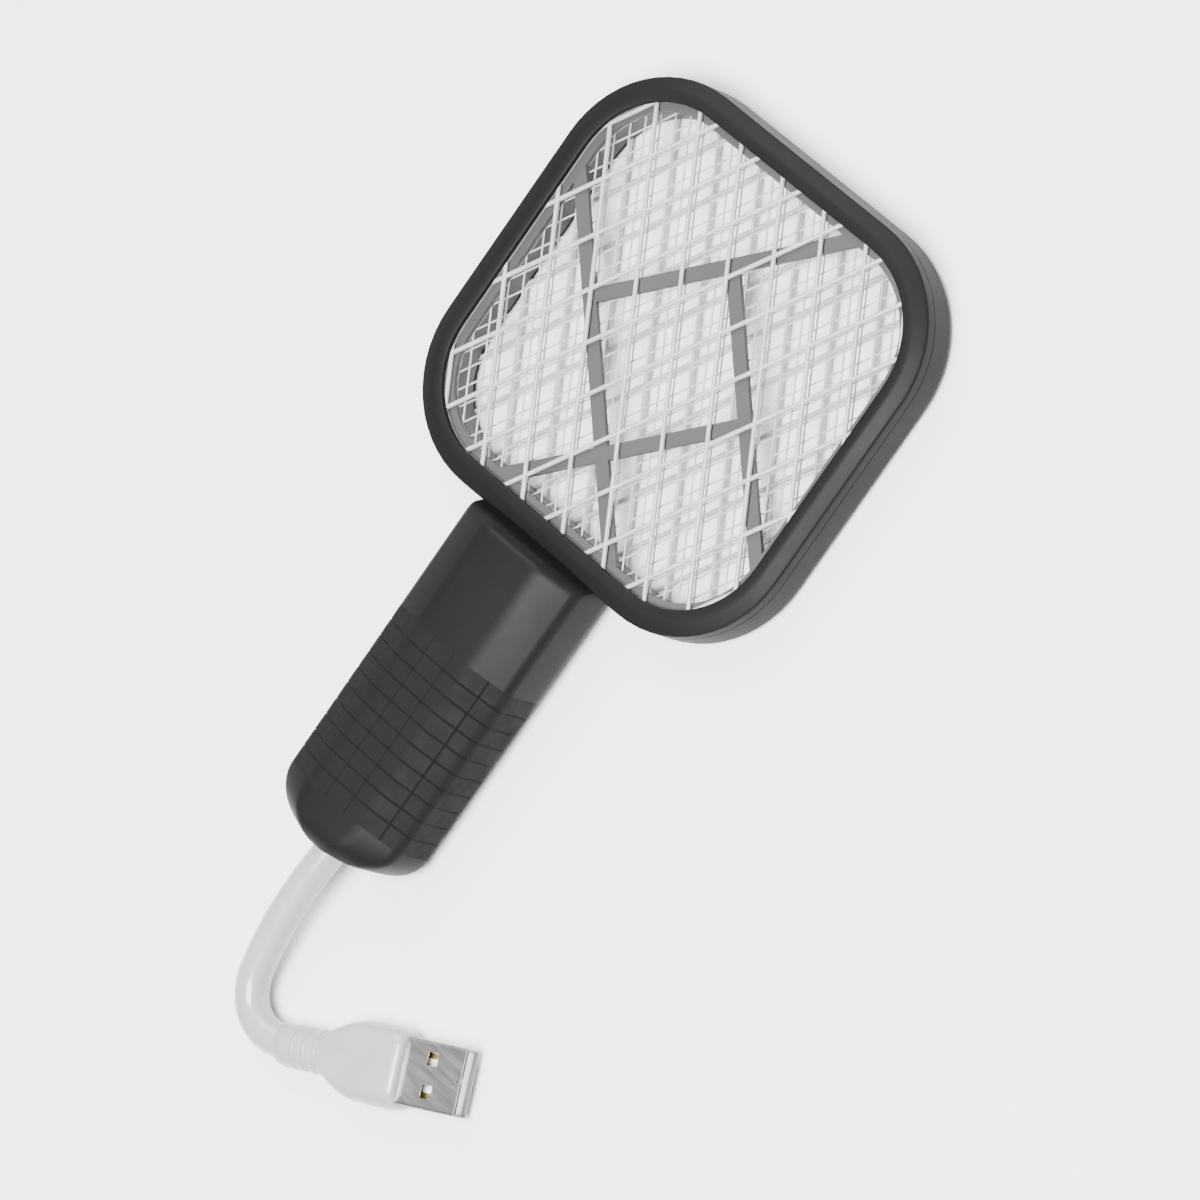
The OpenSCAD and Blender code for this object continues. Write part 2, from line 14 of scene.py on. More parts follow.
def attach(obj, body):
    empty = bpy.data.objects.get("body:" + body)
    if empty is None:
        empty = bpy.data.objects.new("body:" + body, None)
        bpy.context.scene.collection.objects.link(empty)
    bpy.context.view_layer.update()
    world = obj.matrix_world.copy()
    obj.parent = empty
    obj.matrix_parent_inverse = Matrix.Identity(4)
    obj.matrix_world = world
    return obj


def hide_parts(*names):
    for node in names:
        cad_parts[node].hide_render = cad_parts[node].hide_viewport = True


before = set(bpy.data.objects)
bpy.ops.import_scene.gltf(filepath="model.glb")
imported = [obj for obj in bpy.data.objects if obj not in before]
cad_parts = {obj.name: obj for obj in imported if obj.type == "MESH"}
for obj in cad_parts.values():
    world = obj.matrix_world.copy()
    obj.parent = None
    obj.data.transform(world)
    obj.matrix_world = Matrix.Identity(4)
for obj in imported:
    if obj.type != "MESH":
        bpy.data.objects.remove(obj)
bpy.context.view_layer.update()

logging.basicConfig(level=logging.INFO, format="%(message)s")
log = logging.getLogger("swatter")

MM = 0.001
WELD = 1e-4
BUMP_STRENGTH = 0.6
COAT_ROUGHNESS = 0.12
WINDING_BANDS = 500.0
TRACK_SCALE = 260.0
TRACK_WIDTH = 0.03
SWATTER = "swatter"
Point = tuple[float, float, float]
Pair = tuple[float, float]


class Grain(Enum):
    """How the surface of a finish is broken up."""

    MOULDED = "moulded"
    BRUSHED = "brushed"
    WOUND = "wound"
    TRACED = "traced"
    PEARL = "pearl"


# --------------------------------------------------------------------------- materials


class NodeGroups:
    """Shader groups shared by several finishes, each built once."""

    made: dict[str, bpy.types.NodeTree] = {}

    @classmethod
    def tone(cls) -> bpy.types.NodeTree:
        """A cloudy drift between two colours, with a roughness that drifts with it.

        Returns:
            The group, with Colour and Roughness outputs.
        """
        if "tone" in cls.made:
            return cls.made["tone"]
        tree = bpy.data.node_groups.new("surface_tone", "ShaderNodeTree")
        face = tree.interface
        for name, kind in (
            ("Vector", "NodeSocketVector"),
            ("Scale", "NodeSocketFloat"),
            ("Light", "NodeSocketColor"),
            ("Dark", "NodeSocketColor"),
            ("Rough low", "NodeSocketFloat"),
            ("Rough high", "NodeSocketFloat"),
        ):
            face.new_socket(name, in_out="INPUT", socket_type=kind)
        face.new_socket("Colour", in_out="OUTPUT", socket_type="NodeSocketColor")
        face.new_socket("Roughness", in_out="OUTPUT", socket_type="NodeSocketFloat")
        nodes, links = tree.nodes, tree.links
        gin, gout = nodes.new("NodeGroupInput"), nodes.new("NodeGroupOutput")
        noise = nodes.new("ShaderNodeTexNoise")
        noise.inputs["Detail"].default_value = 4.0
        noise.inputs["Roughness"].default_value = 0.6
        mix = nodes.new("ShaderNodeMix")
        mix.data_type = "RGBA"
        spread = nodes.new("ShaderNodeMapRange")
        spread.inputs["From Min"].default_value = 0.3
        spread.inputs["From Max"].default_value = 0.7
        links.new(gin.outputs["Vector"], noise.inputs["Vector"])
        links.new(gin.outputs["Scale"], noise.inputs["Scale"])
        links.new(noise.outputs["Fac"], mix.inputs["Factor"])
        links.new(gin.outputs["Dark"], mix.inputs[6])
        links.new(gin.outputs["Light"], mix.inputs[7])
        links.new(mix.outputs[2], gout.inputs["Colour"])
        links.new(noise.outputs["Fac"], spread.inputs["Value"])
        links.new(gin.outputs["Rough low"], spread.inputs["To Min"])
        links.new(gin.outputs["Rough high"], spread.inputs["To Max"])
        links.new(spread.outputs["Result"], gout.inputs["Roughness"])
        cls.made["tone"] = tree
        return tree

    @classmethod
    def grain(cls) -> bpy.types.NodeTree:
        """A height made of fine noise, stretched by the vector it is given.

        Returns:
            The group, with a Height output.
        """
        if "grain" in cls.made:
            return cls.made["grain"]
        tree = bpy.data.node_groups.new("fine_grain", "ShaderNodeTree")
        face = tree.interface
        face.new_socket("Vector", in_out="INPUT", socket_type="NodeSocketVector")
        face.new_socket("Scale", in_out="INPUT", socket_type="NodeSocketFloat")
        face.new_socket("Height", in_out="OUTPUT", socket_type="NodeSocketFloat")
        nodes, links = tree.nodes, tree.links
        gin, gout = nodes.new("NodeGroupInput"), nodes.new("NodeGroupOutput")
        noise = nodes.new("ShaderNodeTexNoise")
        noise.inputs["Detail"].default_value = 3.0
        noise.inputs["Roughness"].default_value = 0.55
        links.new(gin.outputs["Vector"], noise.inputs["Vector"])
        links.new(gin.outputs["Scale"], noise.inputs["Scale"])
        links.new(noise.outputs["Fac"], gout.inputs["Height"])
        cls.made["grain"] = tree
        return tree


@dataclass(frozen=True)
class Finish:
    """One finish: its colours, gloss and surface texture, under one slot name."""

    slot: str
    light: Point
    dark: Point
    rough: Pair = (0.42, 0.55)
    metallic: float = 0.0
    coat: float = 0.0
    specular: float = 0.5
    tone_scale: float = 60.0
    grain: Grain = Grain.MOULDED
    grain_scale: float = 2600.0
    grain_height: float = 0.05
    stretch: Point = (1.0, 1.0, 1.0)
    transmission: float = 0.0
    subsurface: float = 0.0

    def material(self) -> bpy.types.Material:
        """Makes this finish's material, or returns the one already made.

        Returns:
            The material, named after the slot.
        """
        name = f"{self.slot}_finish"
        if name in bpy.data.materials:
            return bpy.data.materials[name]
        mat = bpy.data.materials.new(name)
        mat.use_nodes = True
        nodes, links = mat.node_tree.nodes, mat.node_tree.links
        shader = nodes["Principled BSDF"]
        place = nodes.new("ShaderNodeTexCoord")
        stretch = nodes.new("ShaderNodeMapping")
        stretch.inputs["Scale"].default_value = self.stretch
        links.new(place.outputs["Object"], stretch.inputs["Vector"])
        tone = nodes.new("ShaderNodeGroup")
        tone.node_tree = NodeGroups.tone()
        tone.inputs["Scale"].default_value = self.tone_scale
        tone.inputs["Light"].default_value = (*self.light, 1.0)
        tone.inputs["Dark"].default_value = (*self.dark, 1.0)
        tone.inputs["Rough low"].default_value = self.rough[0]
        tone.inputs["Rough high"].default_value = self.rough[1]
        links.new(stretch.outputs["Vector"], tone.inputs["Vector"])
        links.new(tone.outputs["Colour"], shader.inputs["Base Color"])
        links.new(tone.outputs["Roughness"], shader.inputs["Roughness"])
        height = self._height(nodes, links, place, stretch)
        bump = nodes.new("ShaderNodeBump")
        bump.inputs["Strength"].default_value = BUMP_STRENGTH
        bump.inputs["Distance"].default_value = self.grain_height * MM
        links.new(height, bump.inputs["Height"])
        links.new(bump.outputs["Normal"], shader.inputs["Normal"])
        shader.inputs["Metallic"].default_value = self.metallic
        shader.inputs["Coat Weight"].default_value = self.coat
        shader.inputs["Coat Roughness"].default_value = COAT_ROUGHNESS
        shader.inputs["Specular IOR Level"].default_value = self.specular
        shader.inputs["Transmission Weight"].default_value = self.transmission
        if self.subsurface:
            shader.inputs["Subsurface Weight"].default_value = self.subsurface
            shader.inputs["Subsurface Radius"].default_value = (0.6, 0.5, 0.45)
            shader.inputs["Subsurface Scale"].default_value = 2.0 * MM
        return mat

    def _height(
        self,
        nodes: bpy.types.Nodes,
        links: bpy.types.NodeLinks,
        place: bpy.types.Node,
        stretch: bpy.types.Node,
    ) -> bpy.types.NodeSocket:
        """Builds the height that the bump reads.

        Args:
            nodes: the material's nodes.
            links: the material's links.
            place: the texture coordinate node.
            stretch: the mapping node.

        Returns:
            The socket that gives the height.
        """
        if self.grain is Grain.WOUND:
            wave = nodes.new("ShaderNodeTexWave")
            wave.bands_direction = "Z"
            wave.inputs["Scale"].default_value = WINDING_BANDS
            wave.inputs["Distortion"].default_value = 0.6
            links.new(place.outputs["Object"], wave.inputs["Vector"])
            return wave.outputs["Fac"]
        if self.grain is Grain.TRACED:
            brick = nodes.new("ShaderNodeTexBrick")
            brick.inputs["Scale"].default_value = TRACK_SCALE
            brick.inputs["Mortar Size"].default_value = TRACK_WIDTH
            links.new(place.outputs["Object"], brick.inputs["Vector"])
            return brick.outputs["Fac"]
        grain = nodes.new("ShaderNodeGroup")
        grain.node_tree = NodeGroups.grain()
        grain.inputs["Scale"].default_value = self.grain_scale
        links.new(stretch.outputs["Vector"], grain.inputs["Vector"])
        return grain.outputs["Height"]


CASING = Finish("casing", (0.0085, 0.0085, 0.0087), (0.0064, 0.0064, 0.0066), (0.38, 0.50),
                specular=0.07, tone_scale=45.0, grain_scale=2400.0, grain_height=0.035)
GRIP = Finish("grip", (0.0092, 0.0087, 0.0092), (0.0062, 0.0059, 0.0063), (0.55, 0.75),
              specular=0.07, tone_scale=260.0, grain_scale=3200.0, grain_height=0.09)
GUARD_WIRE = Finish("guard_wire", (0.52, 0.525, 0.53), (0.40, 0.405, 0.415), (0.22, 0.36),
                    metallic=0.25, coat=0.3, tone_scale=140.0, grain_height=0.02)
LIVE_WIRE = Finish("live_wire", (0.62, 0.62, 0.63), (0.46, 0.465, 0.48), (0.24, 0.40),
                   metallic=0.45, tone_scale=300.0, grain_height=0.01)
SPACER = Finish("spacer_grey", (0.040, 0.040, 0.041), (0.032, 0.032, 0.033), (0.45, 0.6),
                tone_scale=70.0, grain_height=0.04)
SPACER_DARK = Finish("spacer_dark", (0.06, 0.06, 0.062), (0.04, 0.04, 0.042), (0.5, 0.65),
                     tone_scale=70.0, grain_height=0.05)
SCREW = Finish("screw", (0.66, 0.67, 0.68), (0.50, 0.51, 0.53), (0.25, 0.4), metallic=1.0,
               grain=Grain.BRUSHED, stretch=(1.0, 6.0, 1.0), grain_height=0.02)
BUTTON = Finish("button", (0.30, 0.30, 0.31), (0.23, 0.23, 0.24), (0.4, 0.52),
                tone_scale=150.0, grain_height=0.04)
BLACK_PART = Finish("switch_black", (0.035, 0.035, 0.036), (0.022, 0.022, 0.023), (0.3, 0.45),
                    grain_height=0.03)
SWITCH_STEM = Finish("switch_stem", (0.70, 0.58, 0.14), (0.58, 0.46, 0.09), (0.35, 0.5))
BOARD = Finish("board", (0.02, 0.15, 0.07), (0.01, 0.10, 0.045), (0.2, 0.32), coat=0.5,
               tone_scale=500.0, grain=Grain.TRACED, grain_height=0.05)
FERRITE = Finish("ferrite", (0.075, 0.075, 0.08), (0.045, 0.045, 0.05), (0.6, 0.8),
                 tone_scale=900.0, grain_height=0.08)
WINDING = Finish("winding", (0.70, 0.48, 0.08), (0.56, 0.36, 0.05), (0.25, 0.4),
                 grain=Grain.WOUND, grain_height=0.12)
FILM_CAP = Finish("film_cap", (0.48, 0.10, 0.04), (0.36, 0.06, 0.02), (0.15, 0.3), coat=0.6)
RESISTOR = Finish("resistor", (0.58, 0.44, 0.26), (0.44, 0.32, 0.18), (0.3, 0.45))
LED = Finish("led", (0.80, 0.85, 0.80), (0.70, 0.76, 0.72), (0.05, 0.12), transmission=0.6)
LENS = Finish("lens", (0.86, 0.90, 0.88), (0.80, 0.85, 0.82), (0.04, 0.10), transmission=0.85)
CELL = Finish("cell_wrap", (0.70, 0.71, 0.73), (0.58, 0.59, 0.61), (0.25, 0.45), metallic=0.9,
              tone_scale=220.0, grain_height=0.12, grain_scale=500.0)
FOAM = Finish("foam", (0.055, 0.055, 0.06), (0.03, 0.03, 0.034), (0.85, 0.95),
              grain_height=0.3, grain_scale=1800.0)
LEAD_RED = Finish("lead_red", (0.55, 0.025, 0.02), (0.42, 0.015, 0.012), (0.25, 0.4))
LEAD_WHITE = Finish("lead_white", (0.78, 0.78, 0.79), (0.68, 0.68, 0.70), (0.25, 0.4))
JACKET = Finish("cord_white", (0.38, 0.375, 0.385), (0.28, 0.275, 0.285), (0.26, 0.38), coat=0.4,
                tone_scale=70.0, grain=Grain.PEARL, grain_scale=1400.0, grain_height=0.02,
                subsurface=0.1)
PLUG_WHITE = Finish("plug_white", (0.40, 0.388, 0.404), (0.27, 0.260, 0.274), (0.24, 0.36),
                    coat=0.3, tone_scale=90.0, grain=Grain.PEARL, grain_height=0.02,
                    subsurface=0.1)
PLUG_METAL = Finish("plug_metal", (0.30, 0.30, 0.305), (0.24, 0.24, 0.245), (0.26, 0.38),
                    metallic=1.0, grain=Grain.BRUSHED, stretch=(1.0, 8.0, 1.0),
                    tone_scale=120.0, grain_height=0.004)
INSULATOR = Finish("insulator", (0.86, 0.86, 0.84), (0.78, 0.78, 0.76), (0.4, 0.55))
CONTACT = Finish("contact", (0.90, 0.68, 0.30), (0.80, 0.56, 0.22), (0.18, 0.3), metallic=1.0)
PAPER = Finish("floor", (0.93, 0.93, 0.93), (0.92, 0.92, 0.92), (0.8, 0.9), tone_scale=2.0,
               grain_height=0.0)


# --------------------------------------------------------------------------- shaping


@dataclass
class Form:
    """A shape in the making, in millimetres, that becomes one piece."""

    bm: bmesh.types.BMesh = field(default_factory=bmesh.new)

    def box(self, low: Point, high: Point) -> None:
        """Adds a box between two corners.

        Args:
            low: the corner with the least x, y and z.
            high: the corner with the greatest.
        """
        size = [h - l for l, h in zip(low, high)]
        mid = [(h + l) / 2 for l, h in zip(low, high)]
        place = Matrix.Translation(mid) @ Matrix.Diagonal((*size, 1.0))
        bmesh.ops.create_cube(self.bm, size=1.0, matrix=place)

    def rod(self, start: Sequence[float], end: Sequence[float], radius: float,
            sides: int) -> None:
        """Adds a round rod between two points.

        Args:
            start: centre of the first end.
            end: centre of the other end.
            radius: radius of the rod.
            sides: faces round the rod.
        """
        a, b = Vector(start), Vector(end)
        turn = (b - a).to_track_quat("Z", "Y").to_matrix().to_4x4()
        bmesh.ops.create_cone(
            self.bm, cap_ends=True, segments=sides, radius1=radius, radius2=radius,
            depth=(b - a).length, matrix=Matrix.Translation((a + b) / 2) @ turn)

    def turned(self, profile: Sequence[Pair], axis: Point = (0, 0, 1), steps: int = 48) -> None:
        """Spins a closed outline of (radius, height) points right round an axis through 0.

        Args:
            profile: the outline, radius first.
            axis: the direction that heights run along, +Z or +X.
            steps: sectors in the full turn.
        """
        along = Vector(axis)
        out = Vector((0, 1, 0))
        edges = self.outline([out * r + along * h for r, h in profile])
        bmesh.ops.spin(self.bm, geom=edges, cent=(0, 0, 0), axis=along, angle=math.tau,
                       steps=steps, use_merge=True)

    def outline(self, points: Iterable[Sequence[float]]) -> list[bmesh.types.BMEdge]:
        """Adds a closed loop of edges through points and returns the edges."""
        verts = [self.bm.verts.new(p) for p in points]
        return [self.bm.edges.new((a, b)) for a, b in zip(verts, verts[1:] + verts[:1])]

    def ease(self, edges: Sequence[bmesh.types.BMEdge], offset: float, segments: int = 3) -> None:
        """Rounds edges.

        Args:
            edges: the edges.
            offset: about the radius of the rounding.
            segments: faces across it.
        """
        bmesh.ops.bevel(self.bm, geom=list(edges), offset=offset, offset_type="OFFSET",
                        segments=segments, profile=0.5, affect="EDGES", material=-1,
                        clamp_overlap=True)

    def slice(self, point: Point, normal: Point, keep_above: bool | None = None) -> None:
        """Cuts the form by a plane.

        Args:
            point: a point on the plane.
            normal: the plane's direction.
            keep_above: True keeps the side the normal points to, False the other side,
                and None keeps both and only adds the edges.
        """
        geom = [*self.bm.verts, *self.bm.edges, *self.bm.faces]
        bmesh.ops.bisect_plane(self.bm, geom=geom, plane_co=point, plane_no=normal, dist=1e-5,
                               clear_inner=keep_above is True, clear_outer=keep_above is False)

    def trim(self, point: Point, normal: Point, keep_above: bool) -> None:
        """Cuts the form by a plane, keeps one side and closes the cut.

        Args:
            point: a point on the plane.
            normal: the plane's direction.
            keep_above: keep the side the normal points to, or the other one.
        """
        self.slice(point, normal, keep_above)
        rim = [e for e in self.bm.edges if e.is_boundary]
        bmesh.ops.holes_fill(self.bm, edges=rim, sides=0)

    def long_edges(self, axis: int) -> list[bmesh.types.BMEdge]:
        """Finds the edges that run along one axis.

        Args:
            axis: 0, 1 or 2.

        Returns:
            The edges.
        """
        found = []
        for e in self.bm.edges:
            run = e.verts[0].co - e.verts[1].co
            if abs(run[axis]) > 0.999 * run.length:
                found.append(e)
        return found

    def near(self, axis: int, value: float, slack: float = 1e-3) -> list[bmesh.types.BMVert]:
        """The vertices whose coordinate on one axis is close to a value."""
        return [v for v in self.bm.verts if abs(v.co[axis] - value) < slack]

    def move(self, matrix: Matrix) -> None:
        """Moves the whole form."""
        bmesh.ops.transform(self.bm, matrix=matrix, verts=list(self.bm.verts))

    def piece(self, name: str, finish: Finish, body: str = SWATTER, replaces: Sequence[str] = (),
              crease: float = 40.0, weld: bool = True) -> bpy.types.Object:
        """Turns the form into a finished piece.

        Args:
            name: the piece's name.
            finish: its finish.
            body: the frame body that it rides on.
            replaces: frame nodes that it stands for.
            crease: edges sharper than this many degrees stay crisp.
            weld: merge doubles and point faces outwards first.

        Returns:
            The new object.
        """
        bm = self.bm
        if weld:
            bmesh.ops.remove_doubles(bm, verts=list(bm.verts), dist=WELD)
            bmesh.ops.recalc_face_normals(bm, faces=list(bm.faces))
        bmesh.ops.scale(bm, vec=(MM, MM, MM), verts=list(bm.verts))
        for f in bm.faces:
            f.smooth = True
        limit = math.radians(crease)
        for e in bm.edges:
            e.smooth = len(e.link_faces) == 2 and e.calc_face_angle(0.0) < limit
        mesh = bpy.data.meshes.new(name)
        bm.to_mesh(mesh)
        bm.free()
        obj = bpy.data.objects.new(name, mesh)
        bpy.context.scene.collection.objects.link(obj)
        mesh.materials.append(finish.material())
        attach(obj, body)
        if replaces:
            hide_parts(*replaces)
        log.info("piece %s: %d faces", name, len(mesh.polygons))
        return obj


def carve(target: Form, cutters: Form, join: bool = False) -> Form:
    """Cuts one closed form with another, or joins them.

    Args:
        target: the form that is cut.
        cutters: the form that is taken away or added.
        join: add instead of taking away.

    Returns:
        The result, as a new form.
    """
    pair = []
    for form in (target, cutters):
        bmesh.ops.remove_doubles(form.bm, verts=list(form.bm.verts), dist=WELD)
        bmesh.ops.recalc_face_normals(form.bm, faces=list(form.bm.faces))
        mesh = bpy.data.meshes.new("carving")
        form.bm.to_mesh(mesh)
        form.bm.free()
        obj = bpy.data.objects.new("carving", mesh)
        bpy.context.scene.collection.objects.link(obj)
        pair.append(obj)
    cut = pair[0].modifiers.new("cut", "BOOLEAN")
    cut.operation = "UNION" if join else "DIFFERENCE"
    cut.solver = "EXACT"
    cut.object = pair[1]
    graph = bpy.context.evaluated_depsgraph_get()
    result = bmesh.new()
    result.from_mesh(bpy.data.meshes.new_from_object(pair[0].evaluated_get(graph)))
    for obj in pair:
        bpy.data.objects.remove(obj)
    return Form(result)


def dress(node: str, finish: Finish) -> None:
    """Gives a frame node its finish.

    Args:
        node: the node's name.
        finish: its finish.
    """
    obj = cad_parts[node]
    obj.data.materials.clear()
    obj.data.materials.append(finish.material())
    log.info("node %s: %s", node, finish.slot)


# --------------------------------------------------------------------------- studio


@dataclass
class Studio:
    """Camera, lights and floor."""

    aim: Point = (0.0151, -0.0086, 0.0076)
    toward: Point = (0.480, 0.175, 0.860)
    roll: float = 34.9
    width: float = 0.2069
    distance: float = 1.5
    sensor: float = 36.0
    lamps: tuple[tuple[str, Point, float, float], ...] = (
        ("key", (0.22, -0.12, 1.0), 0.5, 42.0),
        ("fill", (-0.50, 0.55, 0.80), 0.6, 14.0),
        ("rim", (0.70, -0.45, 0.35), 0.4, 0.8))
    sky: float = 0.6
    floor_size: float = 3000.0
    floor_gap: float = 0.05

    def camera(self) -> None:
        """Makes the camera: a long lens, turned so that the handle points down and left."""
        data = bpy.data.cameras.new("camera")
        cam = bpy.data.objects.new("camera", data)
        bpy.context.scene.collection.objects.link(cam)
        data.sensor_width = self.sensor
        data.lens = self.sensor * self.distance / self.width
        back = Vector(self.toward).normalized()
        up = Vector((0, 1, 0))
        up = (up - up.dot(back) * back).normalized()
        right = up.cross(back)
        turn = math.radians(self.roll)
        across = math.cos(turn) * right + math.sin(turn) * up
        rise = -math.sin(turn) * right + math.cos(turn) * up
        axes = Matrix((across, rise, back)).transposed().to_4x4()
        cam.matrix_world = Matrix.Translation(Vector(self.aim) + back * self.distance) @ axes
        data.clip_start, data.clip_end = 0.05, 20.0
        bpy.context.scene.camera = cam

    def lamp(self, name: str, place: Point, size: float, power: float) -> None:
        """Adds a square soft light aimed at the object.

        Args:
            name: the light's name.
            place: its position in metres.
            size: its side in metres.
            power: its power in watts.
        """
        data = bpy.data.lights.new(name, "AREA")
        data.size, data.energy = size, power
        lamp = bpy.data.objects.new(name, data)
        bpy.context.scene.collection.objects.link(lamp)
        lamp.location = place
        aim = Vector(self.aim) - Vector(place)
        lamp.rotation_mode = "QUATERNION"
        lamp.rotation_quaternion = aim.to_track_quat("-Z", "Y")

    def light(self) -> None:
        """Sets the lights and the world."""
        for name, place, size, power in self.lamps:
            self.lamp(name, place, size, power)
        world = bpy.data.worlds.new("studio")
        world.use_nodes = True
        sky = world.node_tree.nodes["Background"]
        sky.inputs["Color"].default_value = (1.0, 1.0, 1.0, 1.0)
        sky.inputs["Strength"].default_value = self.sky
        bpy.context.scene.world = world

    def floor(self) -> None:
        """Lays the plain pale floor just under the object."""
        bm = bmesh.new()
        bmesh.ops.create_grid(bm, x_segments=1, y_segments=1, size=self.floor_size)
        bmesh.ops.translate(bm, vec=(0, 0, -self.floor_gap), verts=list(bm.verts))
        bmesh.ops.scale(bm, vec=(MM, MM, MM), verts=list(bm.verts))
        mesh = bpy.data.meshes.new("floor")
        bm.to_mesh(mesh)
        bm.free()
        obj = bpy.data.objects.new("floor", mesh)
        mesh.materials.append(PAPER.material())
        bpy.context.scene.collection.objects.link(obj)


# --------------------------------------------------------------------------- head


@dataclass
class HeadPlan:
    """Rounded square outline of the head, in millimetres."""

    width: float = 84.8
    length: float = 81.7
    corner: float = 22.0
    centre_y: float = 32.65

    def inside(self, x: float, y: float, inset: float) -> bool:
        """Tells whether a point lies inside the outline.

        Args:
            x: the point's place across.
            y: its place along.
            inset: how far the outline is drawn in.

        Returns:
            True inside.
        """
        r = self.corner - inset
        dx = abs(x) - (self.width / 2 - self.corner)
        dy = abs(y - self.centre_y) - (self.length / 2 - self.corner)
        if dx <= 0 or dy <= 0:
            return max(dx, dy) <= r
        return math.hypot(dx, dy) <= r

    def chord(self, offset: float, angle: float, inset: float) -> tuple[Vector, Vector] | None:
        """Ends of a straight line laid across the inset outline.

        Args:
            offset: distance of the line from the head's centre.
            angle: the line's turn from the Y axis, in degrees.
            inset: how far inside the outline it stops.

        Returns:
            The two end points, or None where the line misses the outline.
        """
        a = math.radians(angle)
        run = Vector((-math.sin(a), math.cos(a), 0))
        side = Vector((math.cos(a), math.sin(a), 0))
        base = Vector((0, self.centre_y, 0)) + side * offset
        step, reach = 0.05, 1400
        hits = [k * step for k in range(-reach, reach + 1)
                if self.inside(*(base + run * (k * step)).xy, inset)]
        if not hits or hits[-1] - hits[0] < 2.0:
            return None
        return base + run * hits[0], base + run * hits[-1]

    def sweep(self, form: Form, profile: Sequence[Pair], steps: int = 14) -> None:
        """Carries a closed profile of (inset, height) points right round the outline.

        Args:
            form: the form that receives the rim.
            profile: the closed profile.
            steps: facets in each corner.
        """
        bm = form.bm
        half_w = self.width / 2 - self.corner
        half_l = self.length / 2 - self.corner
        start = Vector((half_w + self.corner, self.centre_y - half_l, 0))
        loop: list = form.outline([start + Vector((-u, 0, z)) for u, z in profile])
        corners = ((half_w, half_l, (0, 1)), (-half_w, half_l, (-1, 0)),
                   (-half_w, -half_l, (0, -1)), (half_w, -half_l, (1, 0)))
        for cx, cy, run in corners:
            far = 2 * (half_l if run[0] == 0 else half_w)
            made = bmesh.ops.extrude_edge_only(bm, edges=loop)["geom"]
            verts = [g for g in made if isinstance(g, bmesh.types.BMVert)]
            loop = [g for g in made if isinstance(g, bmesh.types.BMEdge)]
            loop = [e for e in loop if e.verts[0] in verts and e.verts[1] in verts]
            bmesh.ops.translate(bm, vec=(run[0] * far, run[1] * far, 0), verts=verts)
            spun = bmesh.ops.spin(bm, geom=loop, cent=(cx, self.centre_y + cy, 0), axis=(0, 0, 1),
                                  angle=math.pi / 2, steps=steps, use_merge=False)
            loop = [g for g in spun["geom_last"] if isinstance(g, bmesh.types.BMEdge)]
        bmesh.ops.remove_doubles(bm, verts=list(bm.verts), dist=1e-3)


